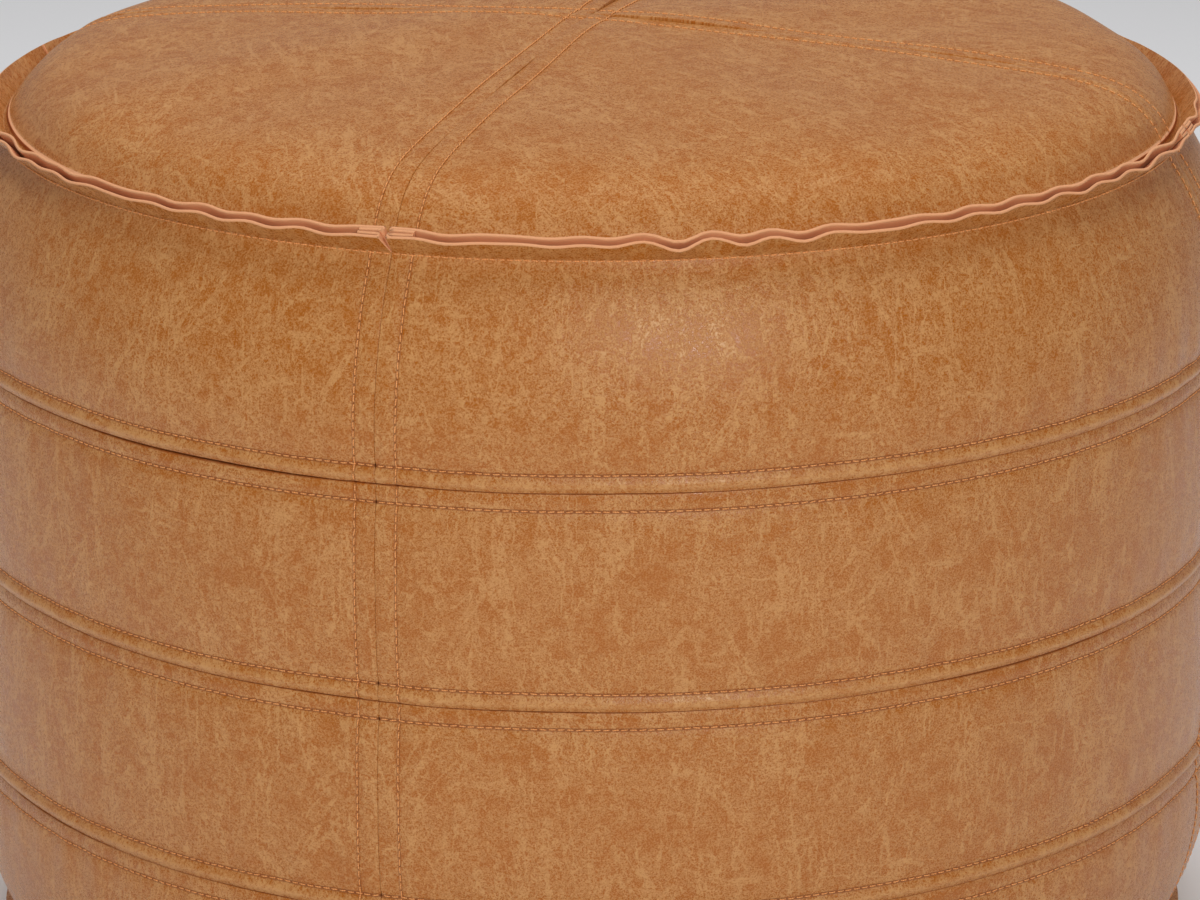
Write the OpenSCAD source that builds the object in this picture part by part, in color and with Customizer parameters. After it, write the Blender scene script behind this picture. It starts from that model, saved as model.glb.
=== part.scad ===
// Round leather pouf: a cover of leather panels over a filled liner bag, with a zip in its base.
// Millimetres, +Z up. The origin is the centre of the base, at the height of the surface it stands on.
// The four seams of the side wall lie on the X and Y axes, in line with the seams of the top.

/* [Body] */
// Diameter at the fullest part of the bands
body_d = 508; // [440:4:600]
// Diameter of the two rim seams
rim_d = 463; // [400:1:540]
// Rise of the crowned top above its rim seam
crown_h = 37.5; // [20:0.5:55]
// Height of the top band, from the rim seam to the first band seam
top_band_h = 79; // [60:1:90]
// Height of each of the three lower bands
band_h = 81; // [60:1:90]
// Height of the base rim seam above the floor
base_rim_h = 9; // [8:0.5:14]
// How far a band stands out between its two seams
bulge = 2.5; // [1:0.5:4]

/* [Leather] */
// Thickness of the leather
leather = 1.1; // [0.9:0.1:1.3]
// Width of the seam allowances, and of the flange round each rim
allowance = 10; // [8:0.5:12]
// Angle of the top flange above the horizontal
flange_tilt = 42; // [30:1:55]
// Angle of the base flange below the horizontal
base_flange_tilt = 18; // [10:1:20]
// Radius of the rolled fold beside a band seam
fold_r = 1.4; // [1:0.1:2]

/* [Stitching] */
// Distance of each topstitch line from a band seam
band_stitch = 6.6; // [5:0.1:8]
// Distance of each topstitch line from a seam of the columns and of the top
column_stitch = 7.8; // [5:0.1:8.5]
// Thickness of the thread
thread = 0.7; // [0.4:0.1:0.9]

/* [Base and zip] */
// Height of the raised middle of the base, where the zip is
dish_h = 8; // [8:0.5:10]
// Radius of the raised middle of the base
dish_r = 155; // [150:1:165]
// Length of the rows of teeth
zip_l = 250; // [200:2:252]
// Half width of the slot that the zip is sewn in
slot_half = 6; // [5.5:0.5:7]
// Spacing of the teeth in a row
tooth_pitch = 2.5; // [2:0.5:4]
// Length of the slider
slider_l = 12; // [10:1:14]
// Length of the pull tab from its pivot
tab_l = 27; // [20:1:28]

/* [Hidden] */
$fn = 48;
QUARTERS = ["front_right", "back_right", "back_left", "front_left"];

seam_r = body_d / 2 - bulge;
rim_r = rim_d / 2;
seam_z = [for (s = [0:3]) base_rim_h + band_h * (3 - s)];
rim_z = seam_z[0] + top_band_h;
cut_gap = 0.3;             // between neighbouring panels
layer_gap = 0.05;          // between the two layers of a flange
skin_gap = 0.06;           // between a thread and the leather under it
lift = 0.3;                // of the columns' stitching over the rings of stitches that it crosses
liner_t = 0.6;             // liner cloth
liner_inset = 6;           // liner's outer face behind the leather's grain face
filling_inset = 7;
contact_r = [175, 221];    // inner and outer radius of the ring that the base stands on
reach = body_d / 2 + 20;   // past the cover's edge, for the shapes that cut or bound it

tape_z = dish_h + 2 * leather + 0.05;
tape_t = 0.6;
tape_half = 17;
tooth_h = 2.4;
tooth_z = tape_z + tape_t / 2 - tooth_h / 2;
row_gap = 0.45;            // from the zip's centre line to the tips of the teeth
row_half = 2.65;           // from the centre line to the outer side of a row
plate_t = 1;               // slider's plates
plate_half = 4.4;
plate_gap = 0.45;          // from a plate to the teeth
wall_in = 3.05;            // inner side of the slider's side walls
low_plate_z = tooth_z - plate_gap - plate_t;
high_plate_z = tooth_z + tooth_h + plate_gap;
stop_l = 4;
slider_x = zip_l / 2 - stop_l - 2 - slider_l / 2;
pivot_z = low_plate_z - 0.9;
tab_t = 1.2;

leather_colour = [0.72, 0.47, 0.29];
thread_colour = [0.85, 0.55, 0.34];
cloth_colour = [0.87, 0.83, 0.75];
brass_colour = [0.67, 0.52, 0.27];
tape_colour = [0.45, 0.29, 0.18];

// ---- outlines: points [radius, height], from the top's centre outward, down and in along the base ----

function unit(v) = v / norm(v);
function turned(v) = [-v[1], v[0]];
function heading(p, i) = unit(p[min(i + 1, len(p) - 1)] - p[min(i, len(p) - 2)]);
// The mitred normal at a point, which on the axis is upright, so that a swept layer closes there
function normal_at(p, i) =
    let (before = heading(p, max(i - 1, 0)), after = heading(p, i), n = turned(unit(before + after)))
    p[i][0] == 0 ? [0, sign(n[1])] : n / (n * turned(before));
function shifted(p, d) = [for (i = [0:len(p) - 1]) p[i] + d * normal_at(p, i)];
function reversed(p) = [for (i = [len(p) - 1:-1:0]) p[i]];
function layer(p, outer, inner) = concat(shifted(p, outer), reversed(shifted(p, inner)));
function part_of(p, first, last) = [for (i = [first:last]) p[i]];

// Height of the crowned top: nearly flat in the middle and steep just inside the rim
function crown_z(s) = rim_z + crown_h * (1 - 0.43 * pow(s, 2) - 0.57 * pow(s, 20));
crown_steps = [0, 0.2, 0.4, 0.6, 0.75, 0.84, 0.9, 0.935, 0.96, 0.98, 0.991, 1];
crown_line = [for (s = crown_steps) [s * rim_r, crown_z(s)]];

// Radius of band b at u, from 0 at its top to 1 at its bottom: the outer two bands curve in to the rims
function drawn_in(u) = (seam_r - rim_r) * pow(1 - u, 2.2);
function band_r(b, u) =
    seam_r + bulge * 4 * u * (1 - u) - (b == 1 ? drawn_in(u) : 0) - (b == 4 ? drawn_in(1 - u) : 0);
function band_top(b) = b == 1 ? rim_z : seam_z[b - 2];
function band_tall(b) = b == 1 ? top_band_h : band_h;
function band_point(b, u) = [band_r(b, u), band_top(b) - u * band_tall(b)];
function band_steps(b) =
    let (edge = allowance / band_tall(b)) concat([edge], [for (k = [1:6]) edge + (1 - 2 * edge) * k / 6]);

// Each flange leaves the rim at an angle; the top and the base panels' layer lies on the side wall's
top_out = [cos(flange_tilt), sin(flange_tilt)];
base_out = [cos(base_flange_tilt), -sin(base_flange_tilt)];
top_rim = [rim_r, rim_z];
base_rim = [rim_r, base_rim_h];
inner_top_rim = top_rim + (2 * leather + layer_gap) * turned(top_out);
inner_base_rim = base_rim - (2 * leather + layer_gap) * turned(base_out);

// A rolled fold: a quarter turn from the face of a band in to its seam
function fold(z, way) = [
    for (a = way > 0 ? [0, 30, 60, 90] : [90, 60, 30, 0])
        [seam_r - fold_r + fold_r * cos(a), z + way * (cut_gap / 2 + fold_r * (1 - sin(a)))]
];
function upper_end(b) = b == 1 ? [top_rim + allowance * top_out, top_rim] : fold(band_top(b), -1);
function lower_end(b) =
    b == 4 ? [base_rim, base_rim + allowance * base_out] : fold(band_top(b) - band_tall(b), 1);
function band_line(b) =
    concat(upper_end(b), [for (u = band_steps(b)) band_point(b, u)], lower_end(b));
function first_on_band(b) = len(upper_end(b));
function last_on_band(b) = first_on_band(b) + len(band_steps(b)) - 1;

top_line = concat(
    part_of(crown_line, 0, len(crown_line) - 2), [inner_top_rim, inner_top_rim + allowance * top_out]
);
base_line = [
    inner_base_rim + allowance * base_out, inner_base_rim,
    [contact_r[1] + 4, 1.6], [contact_r[1], 0], [contact_r[0], 0],
    [dish_r + 14, dish_h * 0.12], [dish_r + 6, dish_h * 0.88], [dish_r, dish_h], [0, dish_h]
];
// The whole outline with no flanges or folds, for the threads over the bands and for what is inside
wall_line = concat([top_rim], [for (b = [1:4], u = band_steps(b)) band_point(b, u)], [base_rim]);
inside_line = concat(part_of(crown_line, 0, len(crown_line) - 3), wall_line);
floor_line = [[contact_r[1], 5.5], [contact_r[0] + 2, 5.5], [dish_r + 8, 15], [0, 15]];

// ---- shapes ----

module quarter(q) {
    rotate([0, 0, 90 * q - 90]) children();
}

module swept(points, angle = 90) {
    rotate_extrude(angle = angle, $fn = 96) polygon(points);
}

// Strips along both straight edges of a quarter, as wide as a seam allowance
module edge_strips(z0, z1) {
    translate([0, 0, z0]) cube([reach, allowance, z1 - z0]);
    translate([0, 0, z0]) cube([allowance, reach, z1 - z0]);
}

// Plates on both sides of each seam plane, where the topstitching goes
module stitch_plates(angles, offset, width, z0, z1) {
    for (a = angles, side = [-1, 1])
        rotate([0, 0, a]) translate([4, side * offset - width / 2, z0]) cube([reach, width, z1 - z0]);
}

module top_panel(q) {
    color(leather_colour) quarter(q) {
        swept(layer(top_line, 0, -leather));
        intersection() {
            swept(layer(part_of(top_line, 0, 7), -leather / 2, -2 * leather));
            edge_strips(rim_z, rim_z + crown_h);
        }
    }
}

module band(b, q) {
    line = band_line(b);
    first = first_on_band(b);
    last = last_on_band(b);
    color(leather_colour) quarter(q) {
        swept(layer(line, 0, -leather));
        // turned-in allowances, under the topstitching
        if (b > 1) swept(layer(part_of(line, first - 1, first), -leather / 2, -2 * leather));
        if (b < 4) swept(layer(part_of(line, last, last + 1), -leather / 2, -2 * leather));
        intersection() {
            swept(layer(part_of(line, first, last), -leather / 2, -2 * leather));
            edge_strips(base_rim_h, rim_z);
        }
    }
}

module base_panel(side) {
    color(leather_colour) rotate([0, 0, side > 0 ? 0 : 180]) difference() {
        union() {
            swept(layer(base_line, 0, -leather), 180);
            // folded edge beside the zip
            translate([-dish_r + 10, 0, dish_h + leather / 2])
                cube([2 * dish_r - 20, slot_half + allowance, leather * 1.5]);
        }
        translate([-zip_l / 2 - 3, -1, 0]) cube([zip_l + 6, slot_half + 1, 2 * dish_h]);
    }
}

module top_seam_thread(angles) {
    color(thread_colour) intersection() {
        swept(layer(part_of(crown_line, 0, 10), skin_gap + thread, skin_gap), 360);
        stitch_plates(angles, column_stitch, thread, rim_z, rim_z + 2 * crown_h);
    }
}

module top_seam_thread_x() {
    difference() {
        top_seam_thread([0, 180]);
        for (side = [-1, 1])
            translate([side * column_stitch - thread, -2 * column_stitch, rim_z])
                cube([2 * thread, 4 * column_stitch, 2 * crown_h]);
    }
}

module top_seam_thread_y() {
    color(thread_colour) intersection() {
        swept(layer(part_of(crown_line, 0, 10), skin_gap + thread, skin_gap), 360);
        for (side = [-1, 1])
            translate([side * column_stitch - thread / 2, -reach, rim_z])
                cube([thread, 2 * reach, 2 * crown_h]);
    }
}

// Rings of thread that the stitching of the columns passes over
module thread_ring(r, z) {
    rotate_extrude($fn = 96) translate([r, z]) circle(d = thread, $fn = 16);
}

// A ring in the corner between a rim's wall and its flange, clear of both
module rim_thread(rim, on_wall, flange) {
    out = unit(unit(on_wall - rim) + flange);
    p = rim + (thread / 2 + skin_gap) / abs(cross(out, flange)) * out;
    color(thread_colour) thread_ring(p[0], p[1]);
}

module band_seam_thread(s) {
    color(thread_colour) difference() {
        for (way = [-1, 1]) {
            b = way > 0 ? s : s + 1;
            u = (way > 0 ? 1 : 0) - way * band_stitch / band_tall(b);
            p = band_point(b, u);
            thread_ring(p[0] + thread / 2 + skin_gap * 2, p[1]);
        }
        stitch_plates(
            [0, 90, 180, 270], column_stitch, thread * 2,
            seam_z[s - 1] - 2 * band_stitch, seam_z[s - 1] + 2 * band_stitch
        );
    }
}

module column_seam_thread() {
    color(thread_colour) intersection() {
        swept(layer(wall_line, lift + skin_gap + thread, lift + skin_gap), 360);
        stitch_plates([0, 90, 180, 270], column_stitch, thread, base_rim_h + 6, rim_z - 6);
    }
}

module zip_stitching() {
    color(thread_colour) for (side = [-1, 1])
        translate([-zip_l / 2 - 6, side * (slot_half + 3) - thread / 2, dish_h - skin_gap - thread])
            cube([zip_l + 12, thread, thread]);
}

module zip_tape(side) {
    color(tape_colour)
        translate([-zip_l / 2 - 8, side > 0 ? row_half : -tape_half, tape_z])
            cube([zip_l + 16, tape_half - row_half, tape_t]);
}

// One row of teeth on its cord; the two rows are half a pitch apart
module zip_teeth(side) {
    teeth = floor((zip_l - 2 * stop_l - 4) / tooth_pitch) - 1;
    start = -teeth * tooth_pitch / 2 + side * tooth_pitch / 4;
    root = row_half - 1;
    outline = concat(
        [for (k = [0:teeth - 1], c = [0:3])
            [start + tooth_pitch * (k + [0, 0, 0.5, 0.5][c]), [root, row_gap, row_gap, root][c]]],
        [[start + tooth_pitch * teeth, row_half], [start, row_half]]
    );
    color(brass_colour) translate([0, 0, tooth_z]) linear_extrude(tooth_h)
        if (side > 0) polygon(outline); else mirror([0, 1, 0]) polygon(outline);
}

module zip_top_stops() {
    color(brass_colour) for (side = [-1, 1])
        translate([zip_l / 2 - stop_l, side > 0 ? row_gap : -row_half, tooth_z])
            cube([stop_l, row_half - row_gap, tooth_h]);
}

module zip_bottom_stop() {
    color(brass_colour) translate([-zip_l / 2, -row_half + 0.05, tooth_z])
        cube([stop_l, 2 * row_half - 0.1, tooth_h]);
}

module zip_slider() {
    wall_h = tape_z - 0.4 - low_plate_z - plate_t;
    color(brass_colour) translate([slider_x, 0, 0]) {
        for (z = [low_plate_z, high_plate_z])
            translate([-slider_l / 2, -plate_half, z]) cube([slider_l, 2 * plate_half, plate_t]);
        for (side = [-1, 1]) {
            y = side > 0 ? wall_in : -plate_half;
            translate([-slider_l / 2, y, low_plate_z])
                cube([slider_l, plate_half - wall_in, plate_t + wall_h]);
            translate([-slider_l / 2, y, high_plate_z - wall_h])
                cube([slider_l, plate_half - wall_in, wall_h + plate_t]);
        }
        // the web between the rows joins the plates
        translate([-1.5, -0.2, low_plate_z]) cube([3, 0.4, high_plate_z - low_plate_z + plate_t]);
        // crown that holds the pull tab
        difference() {
            translate([-3.4, -0.9, pivot_z - 1.5]) cube([6.8, 1.8, low_plate_z - pivot_z + 1.6]);
            translate([-2.2, -1, pivot_z - 0.8]) cube([4.4, 2, low_plate_z - pivot_z + 0.8]);
        }
    }
}

module zip_pull() {
    arm = 1.2;
    half = 2.6;
    color(brass_colour) translate([slider_x, 0, pivot_z]) {
        rotate([90, 0, 0]) cylinder(r = 0.55, h = 2 * half, center = true, $fn = 32);
        for (side = [-1, 1])
            translate([-9, side > 0 ? half - arm : -half, -tab_t / 2]) cube([9.4, arm, tab_t]);
        difference() {
            translate([-tab_l + half, -half, -tab_t / 2]) cube([tab_l - half - 8, 2 * half, tab_t]);
            translate([-tab_l + 4.5, 0, -tab_t]) cylinder(r = 1.3, h = 2 * tab_t, $fn = 32);
        }
        difference() {
            translate([-tab_l + half, 0, -tab_t / 2]) cylinder(r = half, h = tab_t, $fn = 48);
            translate([-tab_l + 4.5, 0, -tab_t]) cylinder(r = 1.3, h = 2 * tab_t, $fn = 32);
        }
    }
}

// ---- liner and filling ----

crown_last = len(crown_line) - 3;

module liner_top() {
    color(cloth_colour)
        swept(layer(part_of(crown_line, 0, crown_last), -liner_inset, -liner_inset - liner_t), 360);
}

module liner_wall() {
    outer = shifted(inside_line, -liner_inset);
    inner = shifted(inside_line, -liner_inset - liner_t);
    first = crown_last + 1;
    last = len(inside_line) - 1;
    color(cloth_colour)
        swept(concat(part_of(outer, first, last), reversed(part_of(inner, first, last))), 360);
}

module liner_base() {
    color(cloth_colour) swept(layer(floor_line, 0, -liner_t), 360);
}

module filling() {
    upper = shifted(inside_line, -filling_inset);
    lower = shifted(floor_line, -liner_t - 0.4);
    color("white") swept(concat(upper, lower), 360);
}

for (q = [0:3]) top_panel(q);
for (b = [1:4], q = [0:3]) band(b, q);
base_panel(-1);  // base_panel_front
base_panel(1);  // base_panel_back
top_seam_thread_x();
top_seam_thread_y();
rim_thread(top_rim, wall_line[1], top_out);  // top_rim_thread
rim_thread(base_rim, wall_line[len(wall_line) - 2], base_out);  // base_rim_thread
for (s = [1:3]) band_seam_thread(s);
column_seam_thread();
zip_stitching();
zip_tape(-1);  // zip_tape_front
zip_tape(1);  // zip_tape_back
zip_teeth(-1);  // zip_teeth_front
zip_teeth(1);  // zip_teeth_back
zip_top_stops();
zip_bottom_stop();
zip_slider();
zip_pull();
liner_top();
liner_wall();
liner_base();
filling();
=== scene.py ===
"""Leather pouf: sewn panels with raw-edge flanges, stitches, zip, liner and filling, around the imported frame."""

import math

import bpy
import numpy as np
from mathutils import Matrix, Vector


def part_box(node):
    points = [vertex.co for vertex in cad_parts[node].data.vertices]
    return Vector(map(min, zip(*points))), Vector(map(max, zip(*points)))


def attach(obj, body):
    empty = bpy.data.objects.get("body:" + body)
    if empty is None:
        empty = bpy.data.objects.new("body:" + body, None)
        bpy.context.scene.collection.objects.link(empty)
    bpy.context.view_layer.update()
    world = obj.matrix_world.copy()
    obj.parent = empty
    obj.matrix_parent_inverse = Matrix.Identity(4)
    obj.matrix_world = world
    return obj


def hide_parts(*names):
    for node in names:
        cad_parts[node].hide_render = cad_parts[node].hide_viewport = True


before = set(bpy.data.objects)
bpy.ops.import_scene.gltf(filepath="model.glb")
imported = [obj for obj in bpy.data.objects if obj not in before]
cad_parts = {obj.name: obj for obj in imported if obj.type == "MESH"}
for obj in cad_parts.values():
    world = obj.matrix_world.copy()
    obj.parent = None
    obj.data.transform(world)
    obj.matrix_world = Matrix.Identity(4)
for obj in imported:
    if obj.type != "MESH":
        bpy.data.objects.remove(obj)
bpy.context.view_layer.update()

MM = 0.001
QUARTERS = ("front_right", "back_right", "back_left", "front_left")
TURN = 2 * math.pi


def middle(node, axis):
    low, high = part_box(node)
    return (low[axis] + high[axis]) / 2


# ---- sizes, read from the frame ----

FULL_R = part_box("band_2_front_right")[1].x      # where a band stands out most
BULGE = 2.5 * MM                                # how far a band stands out between its seams
SEAM_R = FULL_R - BULGE
SEAM_Z = [middle(f"band_seam_thread_{k}", 2) for k in (1, 2, 3)]
RIM_Z = middle("top_rim_thread", 2)
RIM_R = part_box("top_rim_thread")[1].x - 0.9 * MM  # the thread ring lies just outside the corner
BASE_RIM_Z = middle("base_rim_thread", 2) - 0.2 * MM
CROWN_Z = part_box("top_panel_front_right")[1].z
ZIP_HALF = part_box("zip_stitching")[1].x - 6 * MM
ZIP_STITCH_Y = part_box("zip_stitching")[1].y - 0.35 * MM
SLOT_HALF = ZIP_STITCH_Y - 3 * MM
SLOT_END = ZIP_HALF + 3 * MM
DISH_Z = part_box("zip_tape_front")[0].z - 2.25 * MM
BAND_TOP = [RIM_Z, *SEAM_Z]
BAND_BOTTOM = [*SEAM_Z, BASE_RIM_Z]

LEATHER = 1.1 * MM
BAND_STITCH = 6.6 * MM      # topstitching from a band seam
COLUMN_STITCH = 7.8 * MM    # topstitching from a column seam, and from a seam of the top
PITCH = 3.2 * MM            # of the topstitching
RIM_PITCH = 2.9 * MM
FLANGE_W = 9.6 * MM
FLANGE_F = np.array([9.6, 9.45, 8.2, 6.6, 5.0, 3.5, 2.2, 1.2, 0.5]) * MM  # its rows, from the cut edge in
LOWER_TILT = math.radians(41.5)
UPPER_TILT = math.radians(54.5)
FLANGE_SWING = math.radians(7)   # of the top's flange in its waves
BASE_UPPER_TILT = math.radians(15)
BASE_LOWER_TILT = math.radians(21)
CONTACT_R = (175 * MM, 221 * MM)


# ---- noise made of waves that close round the pouf ----

def waves(angle, low, high, count, seed, shift=0.0):
    """A smooth random curve of angle, about -1 to 1, with low to high waves round the pouf."""
    rng = np.random.default_rng(seed)
    total = 0
    for _ in range(count):
        n = rng.integers(low, high + 1)
        total = total + np.sin(n * angle + rng.uniform(0, TURN) + shift * rng.uniform(-1, 1))
    return total / math.sqrt(count)


def hump(d, centre, width):
    return np.exp(-(((d - centre) / width) ** 2))


# ---- meshes ----

def make_mesh(name, points, quads, materials, index=None, attributes=None, smooth=True):
    """An object with these vertices and four-cornered faces, and vector attributes on its vertices."""
    mesh = bpy.data.meshes.new(name)
    points = np.asarray(points, np.float32).ravel()
    mesh.vertices.add(len(points) // 3)
    mesh.vertices.foreach_set("co", points)
    mesh.loops.add(quads.size)
    mesh.loops.foreach_set("vertex_index", quads.ravel().astype(np.int32))
    mesh.polygons.add(len(quads))
    mesh.polygons.foreach_set("loop_start", np.arange(0, quads.size, 4, dtype=np.int32))
    for m in materials:
        mesh.materials.append(m)
    if index is not None:
        mesh.polygons.foreach_set("material_index", index.astype(np.int32))
    mesh.polygons.foreach_set("use_smooth", np.full(len(quads), smooth))
    for key, values in (attributes or {}).items():
        layer = mesh.attributes.new(key, "FLOAT_VECTOR", "POINT")
        layer.data.foreach_set("vector", np.asarray(values, np.float32).ravel())
    mesh.update(calc_edges=True)
    mesh.validate()
    obj = bpy.data.objects.new(name, mesh)
    bpy.context.scene.collection.objects.link(obj)
    return obj


def grid_quads(rows, columns, start=0):
    """Faces of a grid whose rows run anticlockwise and follow each other away from the top's centre."""
    first = (np.arange(rows - 1)[:, None] * columns + np.arange(columns - 1)[None, :]).ravel() + start
    return np.stack([first, first + columns, first + columns + 1, first + 1], 1)


def unit(v):
    return v / np.maximum(np.linalg.norm(v, axis=-1, keepdims=True), 1e-12)


def grid_normals(points):
    """Unit normals of such a grid, out of the leather's grain side."""
    return unit(np.cross(np.gradient(points, axis=0), np.gradient(points, axis=1)))


def length_along(points):
    """Distance of each point of a line from its first, along it."""
    return np.concatenate([[0], np.cumsum(np.linalg.norm(np.diff(points, axis=0), axis=1))])


def round_axis(radius, angle, height):
    return np.stack([radius * np.cos(angle), radius * np.sin(angle), height], -1)


def leather_shell(obj):
    """Gives a one-sided sheet the leather's thickness, with the backing's material inside and on the cut edges."""
    m = obj.modifiers.new("thickness", "SOLIDIFY")
    m.thickness = LEATHER
    m.offset = -1
    m.material_offset = 1
    m.material_offset_rim = 1
    return obj


# ---- folds: how a sheet turns in at a seam and comes back behind itself ----

RETURN = np.array([9.6, 9.4, 7.2, 4.8, 2.6]) * MM                 # the turned-in allowance, from its cut end
HAIRPIN = np.pi * np.array([1, 0.87, 0.74, 0.61, 0.48, 0.35, 0.22, 0.1])
NEAR = np.array([0.3, 0.8, 1.5, 2.4, 3.4, 4.5, 5.6]) * MM         # on from the fold


def fold_side(reach, stitch, far, apex):
    """Lateral distances from a seam's plane, from the turned-in cut end round the fold and out to far,
    and how deep the sheet lies behind its face there, from 0 to 2, where the turned-in allowance is.
    apex is that depth where the two sides of the seam meet."""
    out = np.concatenate([NEAR + reach, [stitch - 0.9 * MM, stitch, stitch + 0.9 * MM, stitch + 2.2 * MM]])
    out = out[np.concatenate([[True], np.diff(out) > 0.25 * MM])]
    rest = np.linspace(out[-1], far, 4)[1:]
    turn = np.cos(HAIRPIN)
    fold = np.where(turn > 0, apex * (1 - turn), apex - (2 - apex) * turn)
    round_in = (1 - np.sin(HAIRPIN)) ** np.where(turn > 0, 1, 3)
    lateral = np.concatenate([RETURN, reach * round_in, [reach], out, rest])
    share = np.concatenate([np.full(len(RETURN), 2.0), fold, np.zeros(1 + len(out) + len(rest))])
    return lateral, share


SIDE_FAR = 16 * MM
COLUMN_REACH = 0.4 * MM     # how far the rounding of a fold comes out from its seam
BAND_REACH = 0.75 * MM
COLUMN_FOLD = 1.15 * MM     # half the depth of the turned-in allowance
BAND_FOLD = 1.25 * MM
SIDE_X, SIDE_SHARE = fold_side(COLUMN_REACH, COLUMN_STITCH, SIDE_FAR, 0.3)
END_S, END_SHARE = fold_side(BAND_REACH, BAND_STITCH, SIDE_FAR, 0.45)
SEAM_GAP = 0.005 * MM        # from a fold to its seam's plane


def across_panel(length, inner):
    """Lateral places of a quarter panel's columns in rows of these lengths: distances from its first seam."""
    length = np.asarray(length)[:, None]
    between = SIDE_FAR + (length - 2 * SIDE_FAR) * np.linspace(0, 1, inner + 2)[None, 1:-1]
    start = np.broadcast_to(SIDE_X, (len(length), len(SIDE_X)))
    return np.concatenate([start, between, length - start[:, ::-1]], 1)


def across_share(inner):
    return np.concatenate([SIDE_SHARE, np.zeros(inner), SIDE_SHARE[::-1]])


# ---- relief of the leather over the filling and the seams ----

def seam_relief(d, fullness):
    """Beside a band seam: a rounded strip over the allowances, a valley under the topstitching."""
    return MM * (
        fullness * hump(d, 2.8 * MM, 2.6 * MM) - 0.55 * hump(d, BAND_STITCH, 1.4 * MM) - 0.5 * hump(d, 0, 13 * MM)
    )


def column_relief(d):
    """Beside a seam of the columns or of the top, which lies flatter."""
    return MM * (
        0.2 * hump(d, 3.6 * MM, 2.8 * MM) - 0.3 * hump(d, COLUMN_STITCH, 1.7 * MM) - 0.3 * hump(d, 0, 15 * MM)
    )


def lumps(angle, height):
    """Slow unevenness of the filling."""
    slow = waves(angle, 3, 9, 5, 11, height / 0.06) * 0.55
    quick = waves(angle, 12, 26, 6, 12, height / 0.025) * 0.22
    return MM * (slow + quick)


def flange_waves(angle):
    """Waves of a rim's two layers together, and of the inner one apart from the other."""
    size = 0.8 + 0.3 * waves(angle, 3, 8, 4, 20)
    return size * waves(angle, 36, 72, 9, 6818), waves(angle, 26, 60, 7, 25)


# ---- bands of the side wall ----

BELOW_SEAM, ABOVE_SEAM = 0.3, 1.8    # fullness in mm of the strips beside a band seam
RIM_CALM = 8 * MM                    # the relief dies away this far from a rim
INNER_COLUMNS = 113
WALL_STEPS = 400


def drawn_in(u):
    """How far a band's wall is drawn in towards its rim, which is at u = 0."""
    return (SEAM_R - RIM_R) * np.clip(1 - u, 0, 1) ** 2.2


def wall_curve(b):
    """Radius and height down band b, from its upper seam to its lower one, and the length along it."""
    u = np.linspace(0, 1, WALL_STEPS)
    radius = SEAM_R + BULGE * (1 - np.abs(2 * u - 1) ** 2.4)
    if b == 1:
        radius = radius - drawn_in(u)
    if b == 4:
        radius = radius - drawn_in(1 - u)
    height = BAND_TOP[b - 1] + (BAND_BOTTOM[b - 1] - BAND_TOP[b - 1]) * u
    length = np.concatenate([[0], np.cumsum(np.hypot(np.diff(radius), np.diff(height)))])
    return radius, height, length


def arch(angle, centre, half):
    """1 at an angle round the pouf and 0 from half to either side of it, both in degrees."""
    away = np.degrees(np.angle(np.exp(1j * (angle - math.radians(centre)))))
    return np.clip(1 - (away / half) ** 2, 0, 1)


# where the band seams stand open: seam, place round the pouf and half width in degrees, width
OPEN_SEAMS = (
    (1, -107, 14, 1.1), (1, 58, 12, 0.7), (1, 150, 16, 0.9),
    (2, -33, 12, 1.0), (2, 95, 15, 0.7), (2, -165, 12, 0.9),
    (3, -128, 12, 0.8), (3, 25, 16, 0.9), (3, 120, 11, 0.6),
)


def seam_opening(seam, angle):
    """How far the two folds of a band seam stand apart, which differs round the pouf."""
    drift = waves(angle, 3, 14, 5, 40 + seam)
    width = 0.12 * np.clip(drift, 0, 1)
    for k, centre, half, wide in OPEN_SEAMS:
        if k == seam:
            width = width + wide * arch(angle, centre, half)
    return MM * width


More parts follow.
